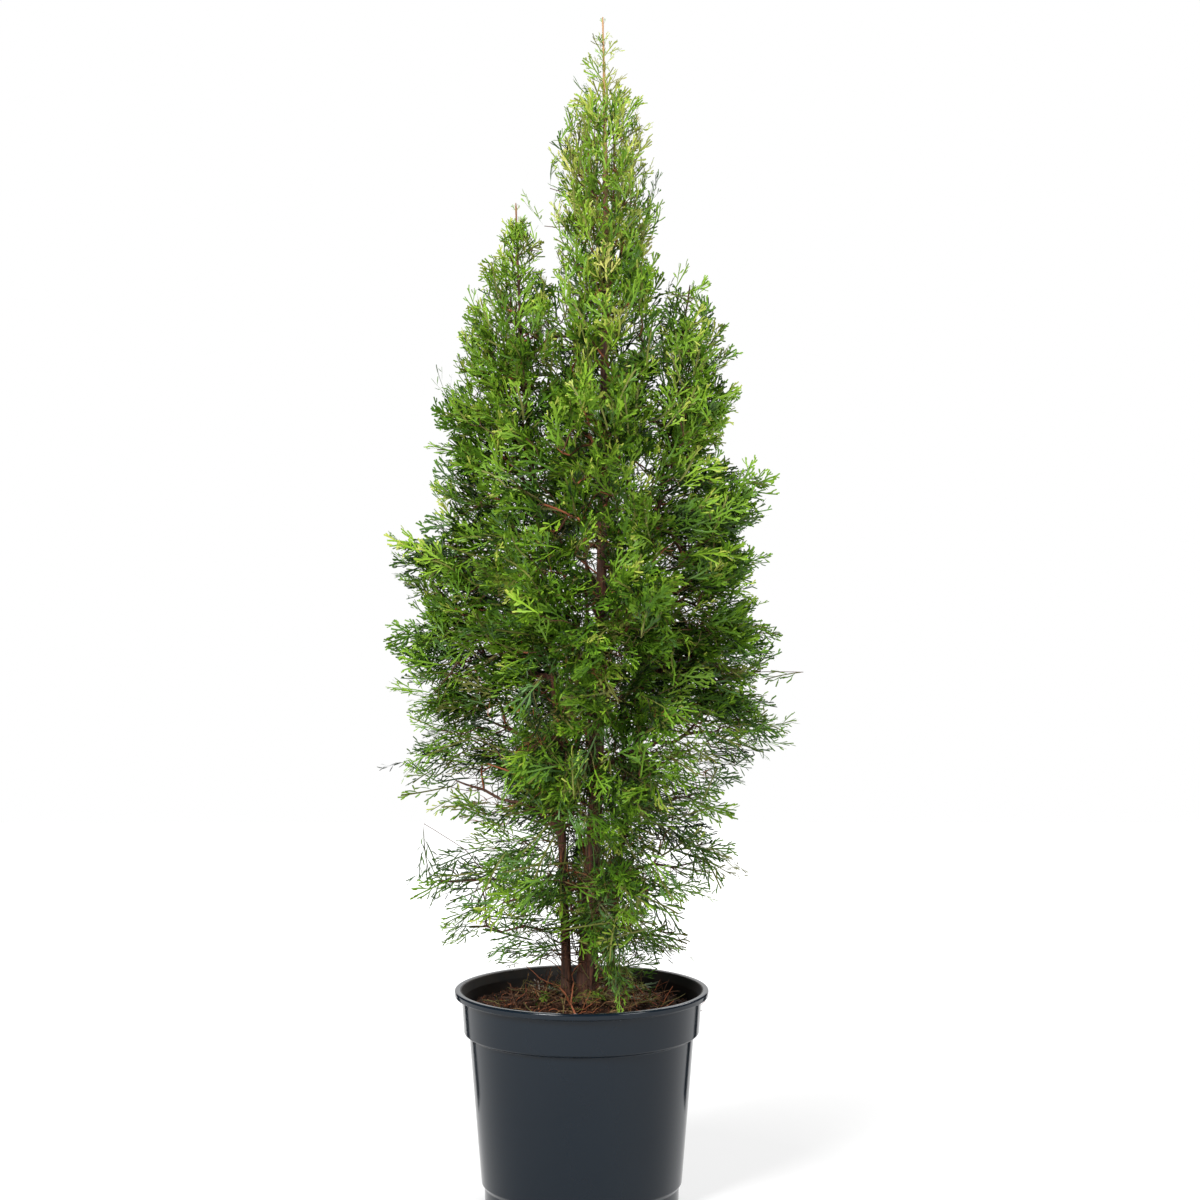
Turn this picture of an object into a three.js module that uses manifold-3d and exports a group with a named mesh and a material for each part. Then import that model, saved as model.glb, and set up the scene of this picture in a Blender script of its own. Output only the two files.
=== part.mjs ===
// A young white cedar (thuja) in a round nursery pot, as separate closed solids in millimetres.
// +Z is up, +X is the plant's right as seen from its front, and the front faces -Y.
// The origin is the centre of the pot's flat underside.
import * as THREE from 'three';
import { mergeVertices } from 'three/addons/utils/BufferGeometryUtils.js';
import Module from 'manifold-3d';

const wasm = await Module();
wasm.setup();

// ---- driving sizes ----
const GAP = 0.45; // clearance left between neighbouring solids

const POT = {
  height: 236,
  lipRadius: 140,
  bandRadius: 132,
  bandFoot: 188, // height of the shoulder under the upper band
  bodyTop: 123.5,
  bodyFoot: 110.5,
  footRadius: 107,
  footHeight: 17,
  wall: 2.2,
  floor: 3,
  sides: 30,
};
const DRAIN = { count: 8, radius: 6.5, circle: 84, sides: 8 };

const SOIL_LEVEL = 212; // the ground level at the stems
const SOIL = { unevenness: 3.2, rings: 4, restGap: 1.2, sides: 24 };

const TOP_OF_LEADER = 1293;

// Limbs: the way of each one from the ground up, its radius at the ground and at its tip, and its root flare.
const LIMBS = {
  trunk: {
    way: [[6, 2], [9, 2, 330], [17, 5, 480], [22, 2, 700], [25, 1, 930], [26, 0, 1130], [23, -2, TOP_OF_LEADER]],
    radius: 11.5, tip: 0.9, flare: 6.5, sides: 9, rings: 21,
  },
  left_stem: {
    way: [[-16, -4], [-19, -3, 330], [-31, 2, 590], [-52, 2, 790], [-66, 0, 960], [-71, -3, 1094]],
    radius: 6, tip: 0.8, flare: 2.5, sides: 7, rings: 13,
  },
  right_stem: {
    way: [[29, 3], [38, 6, 350], [62, 12, 515], [78, 10, 700], [95, 6, 850], [118, 2, 1006]],
    radius: 5, tip: 0.8, flare: 2, sides: 7, rings: 11,
  },
  front_stem: {
    way: [[12, -20], [10, -26, 400], [7, -30, 640], [2, -38, 770]],
    radius: 4, tip: 0.8, flare: 1.5, sides: 6, rings: 7,
  },
};

// Bearings of a tier's masses, in degrees from +X towards the back.
const FANS = {
  fourWays: [180, 0, 84, 276],
  oneInFront: [180, 0, 270, 62, 118],
  twoInFront: [180, 0, 90, 242, 298],
};

// Tiers of foliage round the trunk, from the ground up. A mass grows from the trunk at height stem and begins
// inset away from it. Left, right and deep are how far the tips reach towards -X, +X and both ways along Y, and
// leftTip and rightTip are their heights. Bend arches a mass upwards between its ends.
const TIERS = [
  { name: 'skirt', fan: 'fourWays', stem: 292, left: 172, leftTip: 300, right: 130, rightTip: 296, deep: 118,
    girth: 28, inset: 32, bend: 8, bough: 2.2 },
  { name: 'low', fan: 'twoInFront', stem: 345, left: 215, leftTip: 352, right: 186, rightTip: 366, deep: 158,
    girth: 40, inset: 36, bend: 18, bough: 2.8 },
  { name: 'hip', fan: 'oneInFront', stem: 410, left: 226, leftTip: 484, right: 182, rightTip: 462, deep: 182,
    girth: 54, inset: 24, bend: 8 },
  { name: 'waist', fan: 'twoInFront', stem: 480, left: 192, leftTip: 556, right: 238, rightTip: 532, deep: 196,
    girth: 62, inset: 22, bend: 0 },
  { name: 'middle', fan: 'oneInFront', stem: 555, left: 216, leftTip: 636, right: 219, rightTip: 630, deep: 202,
    girth: 66, inset: 18, bend: -8 },
  { name: 'breast', fan: 'twoInFront', stem: 640, left: 215, leftTip: 738, right: 209, rightTip: 712, deep: 192,
    girth: 68, inset: 14, bend: -14 },
  { name: 'shoulder', fan: 'fourWays', stem: 730, left: 166, leftTip: 842, right: 205, rightTip: 806, deep: 166,
    girth: 68, inset: 12, bend: -22 },
  { name: 'collar', fan: 'fourWays', stem: 810, left: 168, leftTip: 915, right: 168, rightTip: 945, deep: 128,
    girth: 62, inset: 10, bend: -26 },
];

// Upright masses that follow a limb's top: from and to are heights, and girth is the largest radius.
const SPIRES = [
  { name: 'spire_top', along: 'trunk', from: 1050, to: 1243, girth: 62 },
  { name: 'spire_heart', along: 'trunk', from: 830, to: 1140, girth: 88 },
  { name: 'spire_left', along: 'left_stem', from: 815, to: 1082, girth: 72 },
  { name: 'spire_right', along: 'right_stem', from: 810, to: 1034, girth: 58 },
];

// The plainer, looser outline of a limb that is cut out of the masses round it.
const HOLE = { sides: 5, play: 0.8 };

// Sprays low on the front that hang over the soil: the height they leave the trunk at, and where their tip is.
const FOOT_SPRAY = { name: 'foot_spray', stem: 318, inset: 24, tip: [44, -84, 226], girth: 30, bend: 18 };

const MASS = { rings: 5, sides: 6, lump: 0.14, jitter: 0.12, flatness: 0.82, bluntness: 0.8 };

// ---- colours ----
const PLASTIC = { color: 0x33393f, roughness: 0.3, metalness: 0 };
const EARTH = { color: 0x35261a, roughness: 0.95, metalness: 0 };
const BARK = { color: 0x6a4630, roughness: 0.85, metalness: 0 };
const GREEN = { color: 0x4d6a22, roughness: 0.75, metalness: 0 };

// ---- helpers ----

// A seeded run of numbers from 0 to 1, the same on every run.
function seeded(seed) {
  let state = seed;
  return () => {
    state = (state + 0x6d2b79f5) | 0;
    let t = Math.imul(state ^ (state >>> 15), 1 | state);
    t = (t + Math.imul(t ^ (t >>> 7), 61 | t)) ^ t;
    return ((t ^ (t >>> 14)) >>> 0) / 4294967296;
  };
}

// A closed skin over rings of points, with one pole point at each end.
function skin(rings, start, end) {
  const sides = rings[0].length;
  const points = [...rings.flat(), start, end];
  const at = (ring, side) => ring * sides + (side % sides);
  const startAt = rings.length * sides;
  const index = [];
  for (let side = 0; side < sides; side += 1) {
    index.push(startAt, at(0, side + 1), at(0, side));
    index.push(startAt + 1, at(rings.length - 1, side), at(rings.length - 1, side + 1));
    for (let ring = 0; ring < rings.length - 1; ring += 1) {
      index.push(at(ring, side), at(ring, side + 1), at(ring + 1, side));
      index.push(at(ring + 1, side), at(ring, side + 1), at(ring + 1, side + 1));
    }
  }
  const geometry = new THREE.BufferGeometry().setFromPoints(points);
  geometry.setIndex(index);
  return geometry;
}

// A solid that manifold-3d can cut, from a closed geometry.
function solid(geometry) {
  const bare = geometry.clone();
  bare.deleteAttribute('normal');
  bare.deleteAttribute('uv');
  const merged = mergeVertices(bare, 1e-3);
  return new wasm.Manifold(new wasm.Mesh({
    numProp: 3,
    vertProperties: new Float32Array(merged.attributes.position.array),
    triVerts: new Uint32Array(merged.index.array),
  }));
}

function cut(body, tools) {
  return tools.reduce((left, tool) => left.subtract(tool), body);
}

// The geometry of a solid's largest body.
function geometryOf(body) {
  const pieces = body.decompose().sort((a, b) => b.volume() - a.volume());
  const mesh = pieces[0].getMesh();
  const geometry = new THREE.BufferGeometry();
  geometry.setAttribute('position', new THREE.BufferAttribute(mesh.vertProperties, 3));
  geometry.setIndex(new THREE.BufferAttribute(mesh.triVerts, 1));
  geometry.computeVertexNormals();
  return geometry;
}

const plant = new THREE.Group();

function place(name, geometry, look) {
  const mesh = new THREE.Mesh(geometry, new THREE.MeshStandardMaterial({ ...look, flatShading: true }));
  mesh.name = name;
  plant.add(mesh);
  return mesh;
}

// ---- pot and soil ----

function potOutside() {
  const { height, lipRadius, bandRadius, bandFoot, bodyTop, bodyFoot, footRadius, footHeight } = POT;
  return [
    [0, 0], [footRadius - 3, 0], [footRadius, 3],
    [footRadius + 0.4, footHeight], [bodyFoot, footHeight + 5],
    [bodyTop, bandFoot - 3], [bandRadius - 4.5, bandFoot - 1], [bandRadius - 2.2, bandFoot + 3],
    [bandRadius, height - 9], [lipRadius, height - 6],
    [lipRadius, height - 2], [lipRadius - 3, height],
  ];
}

function potInside() {
  const { height, bandRadius, bandFoot, bodyTop, bodyFoot, wall, floor } = POT;
  return [
    [bandRadius - wall + 1.5, height - 3], [bandRadius - wall - 1, height - 10],
    [bandRadius - 2.2 - wall, bandFoot + 5], [bodyTop - wall, bandFoot - 3],
    [bodyFoot - wall, floor + 20], [bodyFoot - wall - 3, floor], [0, floor],
  ];
}

function turned(profile, sides) {
  const points = profile.map(([radius, height]) => new THREE.Vector2(radius, height));
  return new THREE.LatheGeometry(points, sides).rotateX(Math.PI / 2);
}

function pot() {
  let body = solid(turned([...potOutside(), ...potInside()], POT.sides));
  for (let i = 0; i < DRAIN.count; i += 1) {
    const bearing = (2 * Math.PI * (i + 0.5)) / DRAIN.count;
    const hole = new THREE.CylinderGeometry(DRAIN.radius, DRAIN.radius, 4 * POT.floor, DRAIN.sides);
    hole.rotateX(Math.PI / 2);
    hole.translate(DRAIN.circle * Math.cos(bearing), DRAIN.circle * Math.sin(bearing), 0);
    body = body.subtract(solid(hole));
  }
  place('pot', geometryOf(body), PLASTIC);
}

// Radius of the pot's inside at a height, from its inner profile.
function insideRadius(height) {
  const inner = potInside();
  const above = inner.findIndex(([, z]) => z <= height);
  const [r0, z0] = inner[above - 1];
  const [r1, z1] = inner[above];
  return r1 + ((r0 - r1) * (height - z1)) / (z0 - z1);
}

// The soil fills the pot to its level. Its top is uneven but flat and level round the stems' feet.
function soil() {
  const { sides } = SOIL;
  const bottom = POT.floor + SOIL.restGap;
  const draw = seeded(11);
  const rings = [];
  for (const height of [bottom, POT.bandFoot - 3, POT.bandFoot + 5]) {
    rings.push({ radius: insideRadius(height) - SOIL.restGap, height, rough: 0 });
  }
  const edge = insideRadius(SOIL_LEVEL) - SOIL.restGap;
  for (let i = 0; i < SOIL.rings; i += 1) {
    const share = 1 - i / SOIL.rings;
    rings.push({ radius: edge * share, height: SOIL_LEVEL - 5 * share * share, rough: i < SOIL.rings - 1 ? 1 : 0 });
  }
  const skins = rings.map(({ radius, height, rough }) => Array.from({ length: sides }, (_, side) => {
    const bearing = (2 * Math.PI * side) / sides;
    const lift = rough * SOIL.unevenness * (draw() - 0.8);
    return new THREE.Vector3(radius * Math.cos(bearing), radius * Math.sin(bearing), height + lift);
  }));
  const level = skins[skins.length - 1];
  for (const point of level) point.z = SOIL_LEVEL;
  const start = new THREE.Vector3(0, 0, bottom);
  const end = new THREE.Vector3(0, 0, SOIL_LEVEL);
  place('soil', skin(skins, start, end), EARTH);
}

// ---- limbs ----

function wayOf({ way }) {
  const points = way.map(([x, y, z]) => new THREE.Vector3(x, y, z ?? SOIL_LEVEL + GAP));
  return new THREE.CatmullRomCurve3(points, false, 'centripetal');
}

// The point of a limb's way at a height.
function pointAt(limbWay, height) {
  let low = 0;
  let high = 1;
  for (let step = 0; step < 30; step += 1) {
    const middle = (low + high) / 2;
    if (limbWay.getPoint(middle).z < height) low = middle;
    else high = middle;
  }
  return limbWay.getPoint((low + high) / 2);
}

// A tapering limb: level rings up its way, wider at the root flare, with a flat cut at the ground.
function limb({ radius, tip, flare, sides, rings, ...size }, grow = 0) {
  const way = wayOf(size);
  const skins = [];
  for (let ring = 0; ring < rings; ring += 1) {
    const share = (ring / (rings - 1)) ** 1.25;
    const centre = way.getPoint(share);
    const up = centre.z - SOIL_LEVEL;
    const spread = flare * Math.exp(-up / 26);
    const round = radius + (tip - radius) * share ** 0.85;
    skins.push(Array.from({ length: sides }, (_, side) => {
      const bearing = (2 * Math.PI * side) / sides;
      const buttress = spread * (1 + 0.3 * Math.cos(3 * bearing + radius));
      const reach = round + buttress + grow;
      return new THREE.Vector3(Math.cos(bearing), Math.sin(bearing), 0).multiplyScalar(reach).add(centre);
    }));
  }
  const start = way.getPoint(0);
  const end = way.getPoint(1);
  if (grow) {
    for (const point of skins[0]) point.z -= grow;
    start.z -= grow;
    end.z += grow;
  }
  end.z += 0.5 * tip;
  return skin(skins, start, end);
}

// ---- foliage ----

// An uneven, pointed mass about a curved line from its inner end to its tip. Flatness narrows it sideways.
function foliage({ from, to, control, girth, seed }, grow = 0) {
  const draw = seeded(seed);
  const line = new THREE.QuadraticBezierCurve3(from, control, to);
  const phase = 2 * Math.PI * draw();
  const along = line.getTangent(0.5);
  const sideways = new THREE.Vector3(-along.y, along.x, 0);
  if (sideways.length() < 0.3) sideways.set(1, 0, 0);
  sideways.normalize();
  const skins = [];
  for (let ring = 1; ring <= MASS.rings; ring += 1) {
    const share = ring / (MASS.rings + 1);
    const centre = line.getPoint(share);
    const tangent = line.getTangent(share);
    const upwards = new THREE.Vector3().crossVectors(tangent, sideways).normalize();
    const across = new THREE.Vector3().crossVectors(upwards, tangent).normalize();
    const round = girth * Math.sin(Math.PI * share ** MASS.bluntness) ** 0.6;
    skins.push(Array.from({ length: MASS.sides }, (_, side) => {
      const bearing = (2 * Math.PI * side) / MASS.sides;
      const lump = 1 + MASS.lump * Math.sin(3 * bearing + phase + 5 * share) + MASS.jitter * (2 * draw() - 1);
      const reach = round * lump + grow;
      return centre.clone()
        .addScaledVector(across, MASS.flatness * reach * Math.cos(bearing))
        .addScaledVector(upwards, reach * Math.sin(bearing));
    }));
  }
  const start = from.clone().addScaledVector(line.getTangent(0), -grow);
  const end = to.clone().addScaledVector(line.getTangent(1), 2 * grow);
  return skin(skins, start, end);
}

// A mass's line: it begins inset away from its root on the trunk and arches to its tip.
function branchLine(root, to, { inset, bend }) {
  const from = root.clone().addScaledVector(to.clone().sub(root), inset / to.distanceTo(root));
  const control = from.clone().lerp(to, 0.55);
  control.z += bend;
  return { root, from, to, control };
}

function footMass(size, trunkWay, seed) {
  const root = pointAt(trunkWay, size.stem);
  return { ...size, ...branchLine(root, new THREE.Vector3(...size.tip), size), seed, bough: 0 };
}

function tierMasses(tier, trunkWay, firstSeed) {
  const draw = seeded(firstSeed);
  return FANS[tier.fan].map((degrees, i) => {
    const toSide = degrees % 180 === 0;
    const uneven = toSide ? 0 : 2 * draw() - 1;
    const bearing = THREE.MathUtils.degToRad(degrees + 7 * uneven);
    const aside = Math.cos(bearing);
    const reach = (aside < 0 ? tier.left : tier.right) * (1 + 0.05 * uneven);
    const height = THREE.MathUtils.lerp(tier.leftTip, tier.rightTip, (1 + aside) / 2) + 14 * uneven;
    const to = new THREE.Vector3(reach * aside, tier.deep * (1 + 0.05 * uneven) * Math.sin(bearing), height);
    const root = pointAt(trunkWay, tier.stem + 12 * (draw() - 0.5));
    return {
      name: `${tier.name}_${i + 1}`,
      ...branchLine(root, to, tier),
      girth: tier.girth * (0.95 + 0.12 * draw()),
      seed: firstSeed + 17 * i,
      bough: tier.bough,
    };
  });
}

function spireMass({ name, along, from, to, girth }, ways, seed) {
  const way = ways[along];
  const low = pointAt(way, from);
  const high = pointAt(way, to);
  const control = pointAt(way, (from + to) / 2);
  high.z = to;
  return { name, from: low, to: high, control, girth, seed };
}

// A bough: one tapering limb from the trunk to where it enters its mass.
function boughSolid({ root, from, to, bough }) {
  const inside = from.clone().lerp(to, 0.3);
  const control = root.clone().lerp(from, 0.6);
  control.z -= 4;
  const way = new THREE.QuadraticBezierCurve3(root, control, inside);
  const rings = 4;
  const sides = 5;
  const skins = [];
  for (let ring = 0; ring < rings; ring += 1) {
    const share = ring / (rings - 1);
    const centre = way.getPoint(share);
    const tangent = way.getTangent(share);
    const across = new THREE.Vector3(-tangent.y, tangent.x, 0).normalize();
    const upwards = new THREE.Vector3().crossVectors(across, tangent).normalize();
    const round = bough * (1 - 0.55 * share);
    skins.push(Array.from({ length: sides }, (_, side) => {
      const bearing = (-2 * Math.PI * side) / sides;
      return centre.clone()
        .addScaledVector(across, round * Math.cos(bearing))
        .addScaledVector(upwards, round * Math.sin(bearing));
    }));
  }
  return skin(skins, way.getPoint(0), way.getPoint(1));
}

// ---- the whole plant ----

pot();
soil();

const ways = {};
const limbRoom = [];
const massCuts = [];
for (const [name, size] of Object.entries(LIMBS)) {
  ways[name] = wayOf(size);
  place(name, geometryOf(cut(solid(limb(size)), limbRoom)), BARK);
  limbRoom.push(solid(limb(size, GAP)));
  massCuts.push(solid(limb({ ...size, sides: HOLE.sides }, HOLE.play + 0.25 * size.radius)));
}

const masses = [
  ...SPIRES.map((spire, i) => spireMass(spire, ways, 301 + 13 * i)),
  ...TIERS.toReversed().flatMap((tier, i) => tierMasses(tier, ways.trunk, 701 + 101 * i)),
  footMass(FOOT_SPRAY, ways.trunk, 419),
];
const massRoom = [];
for (const mass of masses) {
  place(`foliage_${mass.name}`, geometryOf(cut(solid(foliage(mass)), [...massCuts, ...massRoom])), GREEN);
  massRoom.push(solid(foliage(mass, 1.6 * GAP)));
}
for (const mass of masses.filter(({ bough }) => bough)) {
  place(`bough_${mass.name}`, geometryOf(cut(solid(boughSolid(mass)), [...limbRoom, ...massRoom])), BARK);
}

export default plant;
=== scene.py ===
"""A young thuja in a round nursery pot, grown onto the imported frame. Lengths are metres."""

import math

import bpy
import numpy as np
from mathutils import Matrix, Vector
from mathutils.bvhtree import BVHTree


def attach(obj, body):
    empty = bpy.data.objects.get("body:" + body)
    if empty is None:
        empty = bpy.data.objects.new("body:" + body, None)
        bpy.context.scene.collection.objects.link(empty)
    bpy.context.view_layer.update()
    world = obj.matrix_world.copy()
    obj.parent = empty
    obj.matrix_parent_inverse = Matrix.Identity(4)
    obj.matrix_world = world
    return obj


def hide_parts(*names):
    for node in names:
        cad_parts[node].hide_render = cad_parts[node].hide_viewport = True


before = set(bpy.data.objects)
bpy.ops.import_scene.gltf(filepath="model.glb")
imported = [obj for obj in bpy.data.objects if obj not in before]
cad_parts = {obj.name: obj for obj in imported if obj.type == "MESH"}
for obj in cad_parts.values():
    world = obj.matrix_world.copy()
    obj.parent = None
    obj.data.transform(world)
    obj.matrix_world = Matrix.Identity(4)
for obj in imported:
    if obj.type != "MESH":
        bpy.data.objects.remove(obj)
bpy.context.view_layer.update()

MM = 0.001
UP = np.array([0.0, 0.0, 1.0])


# ---- eye, light and floor ----

EYE_DISTANCE = 3.0
EYE_HEIGHT = 0.837
LOOK_DOWN = math.radians(3.3)
LOOK_RIGHT = math.radians(0.385)
LENS_MM = 82.56


def link(thing):
    bpy.context.scene.collection.objects.link(thing)
    return thing


def set_camera():
    camera = bpy.data.cameras.new("eye")
    camera.lens = LENS_MM
    camera.sensor_width = 36
    holder = link(bpy.data.objects.new("eye", camera))
    holder.location = (0, -EYE_DISTANCE, EYE_HEIGHT)
    holder.rotation_euler = (math.pi / 2 - LOOK_DOWN, 0, -LOOK_RIGHT)
    bpy.context.scene.camera = holder


def soft_light(name, place, aim, width, height, power):
    """A rectangular light that faces what it aims at."""
    light = bpy.data.lights.new(name, "AREA")
    light.shape = "RECTANGLE"
    light.size = width
    light.size_y = height
    light.energy = power
    holder = link(bpy.data.objects.new(name, light))
    holder.location = place
    holder.rotation_euler = (Vector(aim) - Vector(place)).to_track_quat("-Z", "Y").to_euler()


def set_lights():
    heart = (0, 0, 0.65)
    soft_light("key_left", (-1.7, -2.4, 2.6), heart, 1.1, 1.5, 205)
    soft_light("fill_right", (2.3, -2.0, 1.7), heart, 1.2, 1.6, 70)
    soft_light("rim_back", (0.6, 2.2, 2.4), heart, 2.0, 1.2, 60)


def set_room():
    """A white room, white behind the plant, with a dark gap at each side for gloss to show."""
    world = bpy.data.worlds.new("pale_room")
    bpy.context.scene.world = world
    world.use_nodes = True
    world.node_tree.nodes.clear()
    tree = Tree(world.node_tree)
    way = tree.add("ShaderNodeTexCoord", output="Generated")
    ahead = tree.part(way, 1)
    side, gap, bright = grey(0.17), grey(0.01), grey(1.0)
    walls = tree.ramp(ahead, [(0.0, side), (0.66, side), (0.70, gap), (0.88, gap), (0.92, bright)])
    seen = tree.add("ShaderNodeLightPath", output="Is Camera Ray")
    colour = tree.mix(seen, walls, grey(1.0))
    light = tree.add("ShaderNodeBackground", None, {"Color": colour, "Strength": 1.0})
    tree.add("ShaderNodeOutputWorld", None, {"Surface": light}, output=None)


# ---- node trees ----

class Value:
    """A node's output. A sum or a product with it adds a Math node to its tree."""

    def __init__(self, tree, socket):
        self.tree = tree
        self.socket = socket

    def math(self, operation, first, second):
        return self.tree.add("ShaderNodeMath", {"operation": operation}, {0: first, 1: second})

    def __add__(self, other):
        return self.math("ADD", self, other)

    def __sub__(self, other):
        return self.math("SUBTRACT", self, other)

    def __rsub__(self, other):
        return self.math("SUBTRACT", other, self)

    def __mul__(self, other):
        return self.math("MULTIPLY", self, other)

    def __gt__(self, other):
        return self.math("GREATER_THAN", self, other)

    __radd__ = __add__
    __rmul__ = __mul__


class Tree:
    """Adds nodes to a node tree: settings first, then the values or links of the sockets."""

    def __init__(self, nodes):
        self.nodes = nodes

    def add(self, kind, settings=None, sockets=None, output=0):
        node = self.nodes.nodes.new(kind)
        for name, value in (settings or {}).items():
            if name == "stops":
                set_stops(node.color_ramp.elements, value)
            else:
                setattr(node, name, value)
        for key, value in (sockets or {}).items():
            if isinstance(value, Value):
                self.nodes.links.new(value.socket, node.inputs[key])
            else:
                node.inputs[key].default_value = value
        return None if output is None else Value(self, node.outputs[output])

    def mix(self, factor, first, second):
        """A colour between two others."""
        sockets = {0: factor, 6: first, 7: second}
        return self.add("ShaderNodeMix", {"data_type": "RGBA"}, sockets, output=2)

    def noise(self, vector, scale, detail=3.0, roughness=0.5):
        sockets = {"Vector": vector, "Scale": scale, "Detail": detail, "Roughness": roughness}
        return self.add("ShaderNodeTexNoise", None, sockets)

    def ramp(self, factor, stops):
        return self.add("ShaderNodeValToRGB", {"stops": stops}, {0: factor})

    def fade(self, value, low, high, most=1.0):
        """A factor that is 0 up to one value and the most from another."""
        return self.ramp(value, [(low, grey(0)), (high, grey(most))])

    def part(self, vector, axis):
        """One of a vector's parts: 0 for X, 1 for Y or 2 for Z."""
        return self.add("ShaderNodeSeparateXYZ", None, {0: vector}, output=axis)

    def vector_math(self, operation, sockets, output=0):
        return self.add("ShaderNodeVectorMath", {"operation": operation}, sockets, output)

    def stretched(self, vector, scale):
        """A vector with its parts scaled apart, for a pattern that is longer one way."""
        return self.vector_math("MULTIPLY", {0: vector, 1: scale})

    def scaled(self, vector, factor):
        return self.vector_math("SCALE", {0: vector, "Scale": factor})

    def length(self, vector):
        return self.vector_math("LENGTH", {0: vector}, output=1)


def set_stops(elements, stops):
    while len(elements) < len(stops):
        elements.new(0.5)
    for element, (position, colour) in zip(elements, stops):
        element.position = position
        element.color = colour


def rgb(red, green, blue):
    """A linear colour from screen values of 0 to 255."""
    shares = [value / 255 for value in (red, green, blue)]
    linear = [s / 12.92 if s <= 0.04045 else ((s + 0.055) / 1.055) ** 2.4 for s in shares]
    return (*linear, 1.0)


def grey(value):
    return (value, value, value, 1.0)


def finish(name, build):
    """A material whose shader takes the sockets that build gives for its tree."""
    material = bpy.data.materials.new(name)
    material.use_nodes = True
    material.node_tree.nodes.clear()
    tree = Tree(material.node_tree)
    shader = tree.add("ShaderNodeBsdfPrincipled", None, build(tree))
    tree.add("ShaderNodeOutputMaterial", None, {"Surface": shader}, output=None)
    return material


def object_place(tree):
    return tree.add("ShaderNodeTexCoord", output="Object")


def relief(tree, height, strength, distance):
    sockets = {"Height": height, "Strength": strength, "Distance": distance}
    return tree.add("ShaderNodeBump", None, sockets)


# ---- finishes ----

# The gloss of leaves, twigs and chips, as a Specular IOR Level.
DRY_GLOSS = 0.25


def moulded_plastic(tree):
    """Dark slate moulding: faint mottling, softly uneven gloss, and a fine grain."""
    place = object_place(tree)
    cloud = tree.noise(place, 9.0, 4.0)
    streaks = tree.noise(tree.stretched(place, (40, 40, 3)), 1.0, 3.0)
    base = tree.mix(cloud, rgb(7, 17, 26), rgb(12, 23, 32))
    grain = tree.noise(place, 900.0, 2.0)
    return {
        "Base Color": base,
        "Roughness": 0.06 + 0.08 * cloud + 0.08 * streaks,
        "Normal": relief(tree, grain, 0.04, 0.0003),
        "Specular IOR Level": 0.27,
    }


def dusty_inside(tree):
    """The pot's inside: the same plastic, dulled by dried soil."""
    place = object_place(tree)
    splash = tree.noise(place, 45.0, 6.0, 0.65)
    base = tree.mix(tree.fade(splash, 0.42, 0.62), rgb(20, 19, 19), rgb(40, 32, 26))
    return {
        "Base Color": base,
        "Roughness": 0.5 + 0.3 * splash,
        "Normal": relief(tree, splash, 0.3, 0.0008),
    }


def moist_peat(tree):
    """Dark peat with red-brown and sooty specks."""
    place = object_place(tree)
    clump = tree.noise(place, 60.0, 6.0, 0.6)
    speck = tree.noise(place, 320.0, 3.0, 0.6)
    brown = tree.ramp(clump, [(0.3, rgb(16, 10, 7)), (0.52, rgb(36, 23, 15)), (0.7, rgb(62, 40, 27))])
    base = tree.mix(tree.fade(speck, 0.58, 0.70), brown, rgb(98, 54, 34))
    return {
        "Base Color": base,
        "Specular IOR Level": 0.1,
        "Roughness": 0.8 + 0.15 * speck,
        "Normal": relief(tree, clump + 0.5 * speck, 0.8, 0.002),
    }


def fibrous_bark(tree):
    """Thin bark in long upright strips, grey-brown over red-brown, and tan on this year's leader."""
    place = object_place(tree)
    strips = tree.noise(tree.stretched(place, (420, 420, 26)), 1.0, 5.0, 0.6)
    patches = tree.noise(place, 24.0, 3.0)
    old = tree.ramp(strips, [(0.34, rgb(26, 15, 11)), (0.5, rgb(74, 40, 27)), (0.68, rgb(122, 76, 52))])
    weathered = tree.mix(tree.fade(patches, 0.4, 0.65, 0.5), old, rgb(70, 56, 44))
    # A ramp reads 0 to 1, so the height in metres is scaled down for it.
    leader = tree.fade(0.7 * tree.part(place, 2), 0.72, 0.84)
    base = tree.mix(leader, weathered, rgb(164, 126, 88))
    return {
        "Base Color": base,
        "Roughness": 0.78 + 0.18 * strips,
        "Normal": relief(tree, strips, 0.7, 0.0012),
    }


def plain(colour, roughness, gloss=DRY_GLOSS):
    """A plain colour, for small things whose colours are dealt out piece by piece."""
    return lambda tree: {"Base Color": colour, "Roughness": roughness, "Specular IOR Level": gloss}


LEAF_COLOURS = {
    "leaf_gold": rgb(170, 170, 90),
    "leaf_lime": rgb(150, 162, 66),
    "leaf_spring": rgb(114, 148, 35),
    "leaf_fresh": rgb(93, 129, 26),
    "leaf_green": rgb(70, 106, 20),
    "leaf_deep": rgb(44, 72, 16),
    # leaf_shade is painted shade: a near-black green dealt to sprays in the crown's dark inside.
    "leaf_shade": rgb(22, 40, 9),
    "leaf_blue": rgb(70, 104, 46),
    "leaf_olive": rgb(98, 102, 46),
    "leaf_straw": rgb(114, 86, 54),
}
GOLD, LIME, SPRING, FRESH, GREEN, DEEP, SHADE, BLUE, OLIVE, STRAW = range(len(LEAF_COLOURS))
# The colour of a spray's young tips, for each colour of its body, in the order above.
YOUNG_TIP = [GOLD, LIME, LIME, SPRING, FRESH, GREEN, DEEP, GREEN, OLIVE, OLIVE]
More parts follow.
